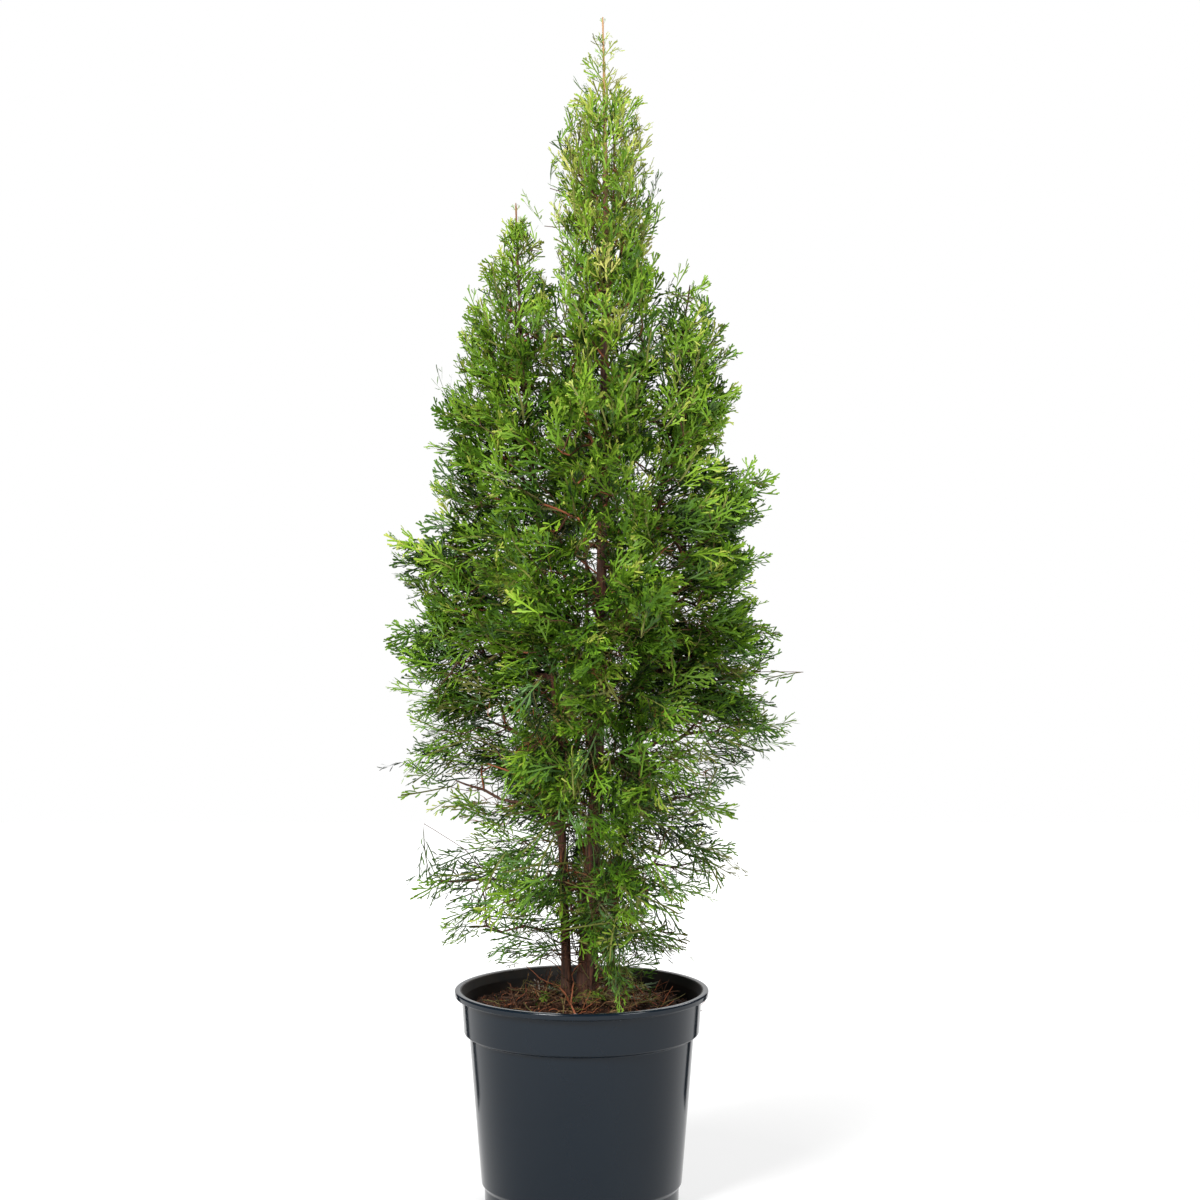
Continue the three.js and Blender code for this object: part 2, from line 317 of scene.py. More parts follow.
# Shares of the leaf colours, in the same order, at each of these heights.
COLOUR_HEIGHTS = [0.25, 0.38, 0.52, 0.72, 0.92, 1.10, 1.27]
COLOUR_SHARES = np.array([
    [0, 0, 4, 17, 30, 20, 7, 10, 12, 0],
    [0, 0, 7, 25, 31, 18, 6, 8, 7, 0],
    [0, 0, 10, 32, 32, 18, 6, 5, 2, 0],
    [0, 1, 14, 34, 32, 16, 5, 3, 0, 0],
    [0, 5, 22, 35, 28, 10, 0, 1, 0, 0],
    [1, 16, 36, 30, 13, 3, 0, 0, 2, 0],
    [10, 36, 34, 10, 0, 0, 0, 0, 10, 0],
], float)

TWIG_COLOURS = {
    "twig_brown": rgb(78, 51, 34),
    "twig_red": rgb(142, 84, 56),
    "twig_olive": rgb(100, 94, 52),
    "twig_tan": rgb(142, 110, 74),
}
TWIG_BROWN, TWIG_RED, TWIG_OLIVE, TWIG_TAN = range(len(TWIG_COLOURS))


# ---- making pieces ----

def array_mesh(name, points, faces, tints, finishes):
    """A mesh from arrays of points and triangles, with each triangle's finish by number."""
    mesh = bpy.data.meshes.new(name)
    mesh.vertices.add(len(points))
    mesh.vertices.foreach_set("co", np.ascontiguousarray(points, np.float32).ravel())
    mesh.loops.add(faces.size)
    mesh.loops.foreach_set("vertex_index", np.ascontiguousarray(faces, np.int32).ravel())
    mesh.polygons.add(len(faces))
    mesh.polygons.foreach_set("loop_start", np.arange(0, faces.size, 3, dtype=np.int32))
    for material in finishes:
        mesh.materials.append(material)
    mesh.polygons.foreach_set("material_index", np.ascontiguousarray(tints, np.int32))
    mesh.update(calc_edges=True)
    return mesh


def applied(piece):
    """The piece with its modifiers' result as its own plain mesh."""
    graph = bpy.context.evaluated_depsgraph_get()
    mesh = bpy.data.meshes.new_from_object(piece.evaluated_get(graph))
    piece.modifiers.clear()
    piece.data = mesh
    return piece


def start_rule(name, inputs):
    """A Geometry Nodes tree with a geometry input and the named ones, and its inputs as values."""
    nodes = bpy.data.node_groups.new(name, "GeometryNodeTree")
    nodes.interface.new_socket("Geometry", in_out="INPUT", socket_type="NodeSocketGeometry")
    for key, kind in inputs.items():
        nodes.interface.new_socket(key, in_out="INPUT", socket_type=kind)
    nodes.interface.new_socket("Geometry", in_out="OUTPUT", socket_type="NodeSocketGeometry")
    tree = Tree(nodes)
    entry = nodes.nodes.new("NodeGroupInput")
    return tree, {socket.name: Value(tree, socket) for socket in entry.outputs if socket.name}


def end_rule(tree, geometry, finishes, tint=None):
    """Closes a Geometry Nodes tree: instances made real, then one finish, or each tint's own."""
    dressed = tree.add("GeometryNodeRealizeInstances", None, {"Geometry": geometry})
    for number, material in enumerate(finishes):
        sockets = {"Geometry": dressed, "Material": material}
        if tint is not None:
            same = {"data_type": "INT", "operation": "EQUAL"}
            sockets["Selection"] = tree.add("FunctionNodeCompare", same, {2: tint, 3: number})
        dressed = tree.add("GeometryNodeSetMaterial", None, sockets)
    tree.add("NodeGroupOutput", None, {0: dressed}, output=None)
    return tree.nodes


def follow_rule(name, mesh, nodes, inputs):
    """A plain piece that a Geometry Nodes tree makes from a starting mesh."""
    piece = link(bpy.data.objects.new(name, mesh))
    modifier = piece.modifiers.new("rule", "NODES")
    modifier.node_group = nodes
    for socket in nodes.interface.items_tree:
        if socket.in_out == "INPUT" and socket.name in inputs:
            modifier[socket.identifier] = inputs[socket.name]
    return applied(piece)


def settle(piece, nodes=()):
    """The piece rides with the plant, and stands for those CAD nodes."""
    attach(piece, "root")
    if nodes:
        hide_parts(*nodes)


# ---- pot ----

POT_SIDES = 144
# Radius, height and corner radius in mm, from the foot up the outside to the lip.
POT_OUTSIDE = [
    (0, 0, 0), (107, 0, 3.2), (107.4, 17, 2.5), (110.5, 21.5, 4), (123.5, 185.5, 1.5),
    (129.4, 188.6, 2.6), (132, 227, 1.6), (139.6, 229.4, 1.4), (140, 236, 2.4),
]
# The same down the inside.
POT_INSIDE = [
    (132.5, 235.6, 2.2), (128.8, 226, 3), (127.2, 192.8, 3), (121.3, 185.4, 3),
    (108.3, 22, 6), (105, 3, 2.5), (0, 3, 0),
]
CORNER_STEPS = 5
DRAIN_COUNT = 8
DRAIN_SIDES = 24
DRAIN_RADIUS = 6.5 * MM
DRAIN_CIRCLE = 84 * MM
# The levels between which the pegs that cut the drain holes stand.
PEG_ENDS = (-5 * MM, 4 * MM)


def rounded(corners):
    """The outline in metres with each corner turned into an arc of its own radius."""
    points = []
    for i, (radius, height, bend) in enumerate(corners):
        here = Vector((radius, height)) * MM
        if not bend:
            points.append(here)
            continue
        before = Vector(corners[i - 1][:2]) * MM - here
        after = Vector(corners[i + 1][:2]) * MM - here
        half = before.angle(after) / 2
        reach = min(bend * MM / math.tan(half), 0.48 * before.length, 0.48 * after.length)
        start = here + before.normalized() * reach
        end = here + after.normalized() * reach
        for step in range(CORNER_STEPS + 1):
            share = step / CORNER_STEPS
            points.append(start * (1 - share) ** 2 + here * 2 * share * (1 - share) + end * share ** 2)
    return points


def lathe(name, outline, sides, tints, finishes):
    """A closed shell turned about the Z axis, from an outline that starts and ends on that axis."""
    inner = outline[1:-1]
    turns = [2 * math.pi * side / sides for side in range(sides)]
    points = [(p.x * math.cos(a), p.x * math.sin(a), p.y) for p in inner for a in turns]
    points += [(0, 0, outline[0].y), (0, 0, outline[-1].y)]
    first, last = len(points) - 2, len(points) - 1
    top = (len(inner) - 1) * sides
    faces, marks = [], []
    for side in range(sides):
        after = (side + 1) % sides
        faces.append((first, after, side))
        faces.append((last, top + side, top + after))
        marks += [tints[0], tints[-1]]
        for row in range(0, top, sides):
            faces.append((row + side, row + after, row + sides + after, row + sides + side))
            marks.append(tints[row // sides + 1])
    mesh = bpy.data.meshes.new(name)
    mesh.from_pydata(points, [], faces)
    for material in finishes:
        mesh.materials.append(material)
    mesh.polygons.foreach_set("material_index", marks)
    mesh.polygons.foreach_set("use_smooth", [True] * len(faces))
    return mesh


def drain_pegs():
    """Upright pegs in one mesh, where the drain holes go through the pot's floor."""
    turns = [2 * math.pi * side / DRAIN_SIDES for side in range(DRAIN_SIDES)]
    circle = [(DRAIN_RADIUS * math.cos(turn), DRAIN_RADIUS * math.sin(turn)) for turn in turns]
    points, faces = [], []
    for hole in range(DRAIN_COUNT):
        bearing = 2 * math.pi * (hole + 0.5) / DRAIN_COUNT
        x, y = DRAIN_CIRCLE * math.cos(bearing), DRAIN_CIRCLE * math.sin(bearing)
        low = len(points)
        high = low + DRAIN_SIDES
        for level in PEG_ENDS:
            points += [(x + across, y + along, level) for across, along in circle]
        faces.append(tuple(range(high - 1, low - 1, -1)))
        faces.append(tuple(range(high, high + DRAIN_SIDES)))
        for i in range(DRAIN_SIDES):
            j = (i + 1) % DRAIN_SIDES
            faces.append((low + i, low + j, high + j, high + i))
    mesh = bpy.data.meshes.new("drain_pegs")
    mesh.from_pydata(points, [], faces)
    return mesh


def make_pot():
    """The moulded shell, dusty from its crest inwards, with its drain holes cut."""
    outline = rounded(POT_OUTSIDE + POT_INSIDE)
    crest = max(range(len(outline)), key=lambda i: (round(outline[i].y, 5), i))
    tints = [int(i > crest) for i in range(len(outline))]
    finishes = [finish("pot_plastic", moulded_plastic), finish("pot_inside", dusty_inside)]
    shell = lathe("pot_shell", outline, POT_SIDES, tints, finishes)
    pot = link(bpy.data.objects.new("pot_shell", shell))
    pegs = link(bpy.data.objects.new("drain_pegs", drain_pegs()))
    holes = pot.modifiers.new("drains", "BOOLEAN")
    holes.operation = "DIFFERENCE"
    holes.object = pegs
    shading = pot.modifiers.new("shading", "WEIGHTED_NORMAL")
    shading.keep_sharp = True
    applied(pot)
    bpy.data.objects.remove(pegs)
    settle(pot, ["pot"])


# ---- limbs ----

BARK_SIDES = 18
BARK_STEP = 5 * MM
BARK_RELIEF = 2.4 * MM
BARK_STRIPS = 320.0
LEVEL_GAP = 0.1 * MM
LEAST_RADIUS = 0.5 * MM
TWIG_SIDES = 3
LITTER_SIDES = 4


def corners(node):
    """The places of the corners of a CAD node's triangles, as an array."""
    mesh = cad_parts[node].data
    places = np.empty(len(mesh.vertices) * 3)
    mesh.vertices.foreach_get("co", places)
    return places.reshape(-1, 3)


def unit(vector):
    return vector / max(np.linalg.norm(vector), 1e-9)


def clamped(value):
    return min(1.0, max(0.0, value))


def level_way(bearing):
    """The level direction at a bearing."""
    return np.array([math.cos(bearing), math.sin(bearing), 0])


def limb_line(node):
    """The centre and radius of each of a limb's level rings, from the ground up."""
    places = corners(node)
    levels = np.round(places[:, 2] / LEVEL_GAP).astype(int)
    line = []
    for level in np.unique(levels):
        ring = np.unique(np.round(places[levels == level], 6), axis=0)
        centre = ring.mean(0)
        radius = max(np.linalg.norm(ring - centre, axis=1).mean(), LEAST_RADIUS)
        line.append((*centre, radius))
    return np.array(line)


def steady(line, step):
    """A line of centres and radii, with its points about a step apart along it."""
    lengths = np.concatenate([[0], np.cumsum(np.linalg.norm(np.diff(line[:, :3], axis=0), axis=1))])
    at = np.linspace(0, lengths[-1], max(2, round(lengths[-1] / step) + 1))
    return np.column_stack([np.interp(at, lengths, line[:, i]) for i in range(4)])


def lines_mesh(name, lines, tints):
    """Bare edges along the lines, with each point's girth and tint as attributes."""
    mesh = bpy.data.meshes.new(name)
    counts = [len(line) for line in lines]
    places = np.vstack(lines)
    firsts = np.cumsum([0] + counts)
    starts = [first + i for first, count in zip(firsts, counts) for i in range(count - 1)]
    edges = [(start, start + 1) for start in starts]
    mesh.from_pydata(places[:, :3].tolist(), edges, [])
    girth = mesh.attributes.new("girth", "FLOAT", "POINT")
    girth.data.foreach_set("value", places[:, 3])
    tint = mesh.attributes.new("tint", "INT", "POINT")
    tint.data.foreach_set("value", np.repeat(tints, counts).astype(np.int32))
    return mesh


def tube_rule(name, finishes):
    """Tubes along lines, each as thick as its girth, roughened by upright strips."""
    inputs = {"Sides": "NodeSocketInt"} | dict.fromkeys(["Relief", "Strips"], "NodeSocketFloat")
    tree, given = start_rule(name, inputs)
    curve = tree.add("GeometryNodeMeshToCurve", None, {"Mesh": given["Geometry"]})
    girth = tree.add("GeometryNodeInputNamedAttribute", {"data_type": "FLOAT"}, {"Name": "girth"})
    tint = tree.add("GeometryNodeInputNamedAttribute", {"data_type": "INT"}, {"Name": "tint"})
    sockets = {"Resolution": given["Sides"], "Radius": 1.0}
    ring = tree.add("GeometryNodeCurvePrimitiveCircle", None, sockets)
    sockets = {"Curve": curve, "Profile Curve": ring, "Scale": girth, "Fill Caps": True}
    tube = tree.add("GeometryNodeCurveToMesh", None, sockets)
    place = tree.add("GeometryNodeInputPosition")
    normal = tree.add("GeometryNodeInputNormal")
    strips = tree.noise(tree.stretched(place, (1.0, 1.0, 0.07)), given["Strips"], 4.0, 0.65)
    lift = (strips - 0.5) * given["Relief"]
    shift = tree.scaled(normal, lift)
    rough = tree.add("GeometryNodeSetPosition", None, {"Geometry": tube, "Offset": shift})
    soft = tree.add("GeometryNodeSetShadeSmooth", None, {"Geometry": rough, "Shade Smooth": True})
    return end_rule(tree, soft, finishes, tint)


def make_tubes(name, lines, tints, sides, relief_height, finishes, nodes=()):
    """Joined tubes along lines, each line in the finish that its tint numbers."""
    inputs = {"Sides": sides, "Relief": relief_height, "Strips": BARK_STRIPS}
    rule = tube_rule(name + "_rule", finishes)
    settle(follow_rule(name, lines_mesh(name, lines, tints), rule, inputs), nodes)


# ---- habit of the crown ----

# By height: how steeply sprays rise for each unit outwards, how long they are, and how close they stand.
HABIT_HEIGHTS = [0.22, 0.30, 0.38, 0.48, 0.60, 0.75, 0.90, 1.05, 1.20, 1.30]
HABIT_RISE = [-0.70, -0.40, -0.25, -0.05, 0.15, 0.55, 1.05, 1.5, 1.9, 2.2]
HABIT_LENGTH = [0.055, 0.059, 0.059, 0.055, 0.048, 0.044, 0.040, 0.036, 0.032, 0.027]
HABIT_CROWD = [0.62, 0.82, 0.92, 0.94, 1.0, 1.1, 1.25, 1.7, 1.6, 1.1]
SPRAYS_PER_LITRE = 166
CLUMPED_SHARE = 0.40
CLUMP_SPREAD = 11 * MM
# Thin places in the crown: middle X and Z, half width and half height, and the share of sprays kept
# there. The last three thin out the low left, the low right and the middle as a whole.
THIN_PLACES = [
    (-0.085, 0.525, 0.040, 0.036, 0.35),
    (0.125, 0.500, 0.065, 0.055, 0.55),
    (-0.095, 0.330, 0.060, 0.055, 0.60),
    (0.105, 0.330, 0.055, 0.060, 0.55),
    (-0.036, 1.050, 0.016, 0.035, 0.20),
    (0.060, 0.960, 0.022, 0.035, 0.40),
    (-0.160, 0.370, 0.110, 0.150, 0.50),
    (0.160, 0.390, 0.110, 0.150, 0.50),
    (0.000, 0.700, 0.120, 0.300, 0.80),
]
# Slots between the front sprays, where the stems show, in the same way.
STEM_SLOTS = [
    (0.018, 0.700, 0.014, 0.065, 0.10),
    (0.018, 0.925, 0.012, 0.030, 0.10),
    (-0.036, 0.575, 0.016, 0.030, 0.20),
    (0.006, 0.440, 0.014, 0.060, 0.30),
    (-0.008, 0.265, 0.032, 0.062, 0.05),
]
SPIRE_PROUD = 18 * MM
BARE_TIP = 22 * MM
FOOT_CROWD = 0.5
# A spray is placed by its tip, which stands this share of its length from its base.
TIP_SHARE = 0.92
TWIG_GIRTH = 0.45 * MM
GIRTH_GROWTH = 0.42
TIERS = ["skirt", "low", "hip", "waist", "middle", "breast", "shoulder", "collar", "spire"]


def at_height(height, values):
    """One of the habit's rows, read at a height."""
    return np.interp(height, HABIT_HEIGHTS, values)


class Crown:
    """The limbs, and how far out the crown reaches at each height and bearing."""

    LEVEL_STEP = 0.01
    LEVELS = np.arange(0.2, 1.31, LEVEL_STEP)
    BEARINGS = 36
    POINT_STEP = 10 * MM
    OUTSIDE = 0.5
    LEAST_REACH = 0.02

    def __init__(self):
        names = ["trunk", "left_stem", "right_stem", "front_stem"]
        self.lines = {name: limb_line(name) for name in names}
        stepped = [steady(line, self.POINT_STEP) for line in self.lines.values()]
        self.points = np.vstack([line[:-1] for line in stepped])
        ways = [np.diff(line[:, :3], axis=0) for line in stepped]
        self.ways = np.vstack([way / np.linalg.norm(way, axis=1)[:, None] for way in ways])
        places, faces = [], []
        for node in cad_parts:
            if node.startswith("foliage_"):
                start = len(places)
                places += [Vector(p) for p in corners(node)]
                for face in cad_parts[node].data.polygons:
                    faces.append([start + corner for corner in face.vertices])
        skin = BVHTree.FromPolygons(places, faces)
        self.reach = np.full((len(self.LEVELS), self.BEARINGS), self.LEAST_REACH)
        for i, level in enumerate(self.LEVELS):
            axis = self.axis("trunk", level)
            for j in range(self.BEARINGS):
                way = Vector(level_way(2 * math.pi * j / self.BEARINGS))
                hit = skin.ray_cast(Vector(axis) + way * self.OUTSIDE, -way)[3]
                if hit is not None:
                    self.reach[i, j] = max(self.OUTSIDE - hit, self.LEAST_REACH)

    def axis(self, limb, height):
        """Where a limb's middle is at a height."""
        line = self.lines[limb]
        x, y = (np.interp(height, line[:, 2], line[:, i]) for i in range(2))
        return np.array([x, y, height])

    def share_out(self, place):
        """How far out a place is: 0 on the trunk, 1 at the crown's outside."""
        offset = place - self.axis("trunk", place[2])
        bearing = math.atan2(offset[1], offset[0]) % (2 * math.pi)
        level = round((place[2] - self.LEVELS[0]) / self.LEVEL_STEP)
        i = int(np.clip(level, 0, len(self.LEVELS) - 1))
        j = round(bearing / (2 * math.pi) * self.BEARINGS) % self.BEARINGS
        return min(np.hypot(offset[0], offset[1]) / self.reach[i, j], 1.2)


class Mass:
    """One foliage solid, the tier it is in, and what is inside it."""

    def __init__(self, node):
        self.node = node
        self.number = node.split("_")[-1]
        self.tier = "skirt" if node == "foliage_foot_spray" else node.split("_")[1]
        self.limb = {"left": "left_stem", "right": "right_stem"}.get(self.number, "trunk")
        self.places = corners(node)
        faces = [tuple(face.vertices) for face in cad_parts[node].data.polygons]
        self.skin = BVHTree.FromPolygons([Vector(p) for p in self.places], faces)
        self.low = self.places.min(0)
        self.high = self.places.max(0)
        a, b, c = (self.places[[face[i] for face in faces]] for i in range(3))
        self.litres = abs(np.einsum("ij,ij->", a, np.cross(b, c))) / 6 * 1000
        self.places_once = np.unique(np.round(self.places, 5), axis=0)
        self.middle = self.places_once.mean(0)

    def depth(self, place):
        """How deep inside the mass a place is, or less than nothing outside it."""
        near, normal, _, distance = self.skin.find_nearest(Vector(place))
        return distance if (Vector(place) - near).dot(normal) < 0 else -distance

    def spots(self, rng):
        """Places inside the mass for the spray tips, most of them near the crown's outside."""
        crowd = at_height(self.middle[2], HABIT_CROWD) * (FOOT_CROWD if self.number == "spray" else 1.0)
        count = round(self.litres * SPRAYS_PER_LITRE * crowd)
        found = []
        for _ in range(count):
            place = self.spot(rng)
            if found and rng.random() < CLUMPED_SHARE:
                beside = found[rng.integers(len(found))] + rng.normal(0, CLUMP_SPREAD, 3)
                place = beside if self.depth(beside) > 0 else place
            if rng.random() < kept_share(place):
                found.append(place)
        # Sprays just inside the solid's own corners keep the crown's outline.
        for corner in self.places_once:
            place = corner + 0.06 * (self.middle - corner)
            if crown.share_out(place) > 0.85 and rng.random() < kept_share(place):
                found.append(place)
        if self.number in ("top", "left"):
            highest = crown.lines[self.limb][-1, 2] - BARE_TIP
            found = [place for place in found if place[2] < highest]
        return found

    def spot(self, rng):
        """One place by chance. On the spires it may stand a little proud of the solid."""
        proud = SPIRE_PROUD if self.tier == "spire" else 0.0
        while True:
            place = rng.uniform(self.low, self.high)
            if self.depth(place) > 0 and rng.random() < 0.10 + 0.90 * crown.share_out(place) ** 3:
                outward = unit((place - crown.axis(self.limb, place[2])) * (1, 1, 0))
                return place + outward * rng.uniform(0, proud)


def kept_share(place):
    """The share of sprays that grow at a place: all of them, but fewer in the thin places.

    A thin place is at its thinnest up to 0.6 of its half sizes and has ended at 1.1 of them.
    """
    kept = 1.0
    for x, z, half_width, half_height, share in THIN_PLACES + (STEM_SLOTS if place[1] < 0 else []):
        off = math.hypot((place[0] - x) / half_width, (place[2] - z) / half_height)
        kept = min(kept, share + (1 - share) * min(1.0, max(0.0, off - 0.6) / 0.5))
    return kept


# ---- growing ----

BOUGH_STEPS = 7
WANDER = 0.02
LONG_TWIG = 0.03
LEAST_BOUGH_GIRTH = 1.0 * MM
LEAST_TWIG_GIRTH = 0.4 * MM
THICK_TWIG_GIRTH = 0.9 * MM
FOOT_TWIGS = 44
FOOT_HEIGHTS = (0.225, 0.370)
FOOT_LOWEST_TWIG = 0.218
FOOT_LOWEST_TIP = 0.230


class Growth:
    """Points that each hang on an earlier one, grown twig by twig from the limbs."""

    def __init__(self):
        self.places, self.ways, self.parents, self.loads = [], [], [], []
        self.twigs, self.boughs = [], []

    def point(self, place, way, parent):
        """Adds a point, and gives its number. A point on a limb has no parent, which is -1."""
        self.places.append(place)
        self.ways.append(way)
        self.parents.append(parent)
        self.loads.append(0)
        return len(self.places) - 1

    def best_start(self, end, way):
        """The point that a twig to this end grows from best: near, and without bending back."""
        gaps = end - np.array(self.places)
        spans = np.linalg.norm(gaps, axis=1) + 1e-9
        along = np.einsum("ij,ij->i", gaps, np.array(self.ways)) / spans
        forward = gaps @ way / spans
        return int((spans * (1.9 - 0.5 * along - 0.5 * forward)).argmin())

    def curve(self, start, end, way, steps, wander, rng):
        """Adds points on a smooth curve from a point to an end that it reaches in a given way."""
        here = self.places[start]
        span = np.linalg.norm(end - here)
        sweep = span * max(0.15, 0.8 * float(way @ unit(end - here)))
        leave = unit(0.5 * self.ways[start] + unit(end - here)) * sweep
        arrive = way * sweep
        chain = [start]
        for step in range(1, steps + 1):
            t = step / steps
            place = (2 * t**3 - 3 * t**2 + 1) * here + (t**3 - 2 * t**2 + t) * leave
            place = place + (3 * t**2 - 2 * t**3) * end + (t**3 - t**2) * arrive
            if step < steps:
                place = place + rng.normal(0, wander * span, 3)
            chain.append(self.point(place, unit(place - self.places[chain[-1]]), chain[-1]))
        return chain

    def load(self, point):
        """A spray hangs on this point, and on all that carry it."""
        while point >= 0:
            self.loads[point] += 1
            point = self.parents[point]

    def line(self, chain, least):
        """A chain's places and radii: thicker, the more sprays a point carries."""
        loads = np.maximum([self.loads[i] for i in chain], 1)
        loads[0] = loads[1]
        girths = np.maximum(TWIG_GIRTH * loads ** GIRTH_GROWTH, least)
        return np.column_stack([np.array([self.places[i] for i in chain]), girths])


def bough_ends(mass):
    """Where the mass's bough starts on a limb and where it ends, by its CAD bough if it has one."""
    node = f"bough_{mass.tier}_{mass.number}"
    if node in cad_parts:
        places = corners(node)
        middle = places.mean(0)
        along = np.linalg.svd(places - middle, full_matrices=False)[2][0]
        shares = (places - middle) @ along
        ends = [middle + along * shares.min(), middle + along * shares.max()]
        ends.sort(key=lambda end: np.linalg.norm(crown.points[:, :3] - end, axis=1).min())
        root = ends[0]
    else:
        gap = mass.middle - crown.points[:, :3]
        flat = np.hypot(gap[:, 0], gap[:, 1])
        cost = np.linalg.norm(gap, axis=1) + 0.6 * abs(gap[:, 2] - 0.7 * flat)
        root = crown.points[cost.argmin(), :3]
    near = np.linalg.norm(crown.points[:, :3] - root, axis=1).argmin()
    far = mass.places[np.linalg.norm(mass.places - root, axis=1).argmax()]
    return near, mass.middle + 0.35 * (far - mass.middle)


def grow(mass, rng):
    """Grows one mass's bough and twigs, and gives them with its sprays."""
    growth = Growth()
    for (x, y, z, _), way in zip(crown.points, crown.ways):
        if mass.depth((x, y, z)) > -0.02:
            growth.point(np.array([x, y, z]), way, -1)
    inside = len(growth.places) > 3
    near, end = bough_ends(mass)
    if not inside or mass.tier in ("skirt", "low", "hip", "waist", "middle"):
        start = growth.point(crown.points[near, :3], crown.ways[near], -1)
        way = unit(end - crown.points[near, :3])
        chain = growth.curve(start, end, way, BOUGH_STEPS, WANDER, rng)
        growth.boughs.append(chain)
    spots = mass.spots(rng)
    spots.sort(key=lambda spot: np.linalg.norm(np.array(growth.places) - spot, axis=1).min())
    sprays = []
    for spot in spots:
        spray = spray_at(spot, mass, rng)
        if rng.random() > kept_share(spot - spray.way * spray.length * 0.5):
            continue
        start = growth.best_start(spray.base, spray.way)
        span = np.linalg.norm(spray.base - growth.places[start])
        steps = 2 if span < LONG_TWIG else 3
        chain = growth.curve(start, spray.base, spray.way, steps, WANDER, rng)
        growth.twigs.append(chain)
        growth.load(chain[-1])
        sprays.append(spray)
    return growth, sprays


class Spray:
    """Where one flat spray sits, how it is turned and bent, and its colours."""

    def __init__(self, tip, outward, way, length, rng):
        height = tip[2]
        self.outness = crown.share_out(tip)
        self.tip_height = height
        self.way = way
        self.length = length
        self.base = tip - way * length * TIP_SHARE
        face = unit(UP + outward * (0.2 + 0.8 * clamped(at_height(height, HABIT_RISE))))
        side = unit(np.cross(face, way))
        roll = rng.normal(0, math.radians(52))
        flat = np.cross(self.way, side)
        self.side = side * math.cos(roll) + flat * math.sin(roll)
        self.face = np.cross(self.way, self.side)
        self.bend = rng.normal(0.10, 0.10)
        self.cup = rng.uniform(0.05, 0.5)
        self.deal_colours(height, rng)

    def deal_colours(self, height, rng):
        shares = np.array([np.interp(height, COLOUR_HEIGHTS, column) for column in COLOUR_SHARES.T])
        # Painted shade: the farther inside the crown a spray is, the fewer light greens and the more
        # green, deep and shade it is dealt, less so near the top.
        inner = clamped((0.95 - self.outness) / 0.5) * np.interp(height, [0.92, 1.08], [1.0, 0.0])
        shares[[GOLD, LIME, SPRING, FRESH]] *= 1 - 0.9 * inner
        shares[[GREEN, DEEP, SHADE]] += np.array([4, 18, 26]) * inner
        body = int(rng.choice(len(shares), p=shares / shares.sum()))
        tip = YOUNG_TIP[body] if rng.random() < 0.7 else body
        stalk = OLIVE if rng.random() < 0.3 else body
        self.tints = np.array([stalk, body, tip])


def spray_at(tip, mass, rng):
    """A spray with its tip at a place, turned by the crown's habit at that height."""
    outward = unit((tip - crown.axis(mass.limb, tip[2])) + rng.normal(0, 0.01, 3) * (1, 1, 0))
    rise = at_height(tip[2], HABIT_RISE)
    way = unit(outward + UP * rise + rng.normal(0, 0.38, 3) * max(1, abs(rise)) ** 0.5)
    length = at_height(tip[2], HABIT_LENGTH) * rng.uniform(0.75, 1.25)
    if mass.node == "foliage_foot_spray":
        way = unit(np.array([rng.normal(0.25, 0.3), -0.5, -0.8]))
        length *= 0.6
    return Spray(tip, outward, way, length, rng)


def tip_from(base, way, length):
    """The tip of a spray that grows from a base."""
    return base + way * length * TIP_SHARE


def tip_sprig(limb, top, lean, rng):
    """One of the small upright sprigs that fork from a leader's very tip."""
    way = unit(np.array([lean, rng.normal(0, 0.2), 1.0]))
    length = 9 * MM
    start = crown.axis(limb, top - 10 * MM)
    return Spray(tip_from(start, way, length), np.array([np.sign(lean), 0, 0]), way, length, rng)


def leader_sprigs(limb, reach, rng):
    """Small sprigs up the last part of a leader, by turns round it, the shortest at the tip."""
    top = crown.lines[limb][-1, 2]
    sprigs = [tip_sprig(limb, top, lean, rng) for lean in (-0.35, 0.55)]
    for step in range(int(reach / (3.6 * MM))):
        below = 25 * MM + step * 3.6 * MM
        start = crown.axis(limb, top - below)
        outward = level_way(2.4 * step + rng.normal(0, 0.3))
        way = unit(outward + UP * rng.uniform(0.6, 1.4))
        length = (6 * MM + 0.34 * below) * rng.uniform(0.7, 1.3)
        sprigs.append(Spray(tip_from(start, way, length), outward, way, length, rng))
    return sprigs


def foot_sprays(lines, tints, rng):
    """Sparse low sprays and bare twigs at the foot of the stems, down to the soil."""
    sprays = []
    for limb in crown.lines:
        for _ in range(FOOT_TWIGS):
            start = crown.axis(limb, rng.uniform(*FOOT_HEIGHTS))
            outward = level_way(rng.uniform(0, 2 * math.pi))
            way = unit(outward + UP * rng.uniform(-0.15, 0.7))
            line = wandering(start, way, rng.uniform(0.025, 0.085), 0.7 * MM, 5, rng)
            line[:, 2] = np.maximum(line[:, 2], FOOT_LOWEST_TWIG)
            lines.append(line)
            tints.append(int(rng.choice([TWIG_BROWN, TWIG_RED, TWIG_OLIVE], p=[0.4, 0.25, 0.35])))
            for point in line[2:, :3]:
                if rng.random() < 0.2:
                    turn = unit(way + rng.normal(0, 0.4, 3))
                    length = rng.uniform(0.022, 0.04)
                    tip = tip_from(point, turn, length)
                    if tip[2] > FOOT_LOWEST_TIP and rng.random() < kept_share(tip):
                        sprays.append(Spray(tip, outward, turn, length, rng))
    return sprays


# ---- flat sprays ----

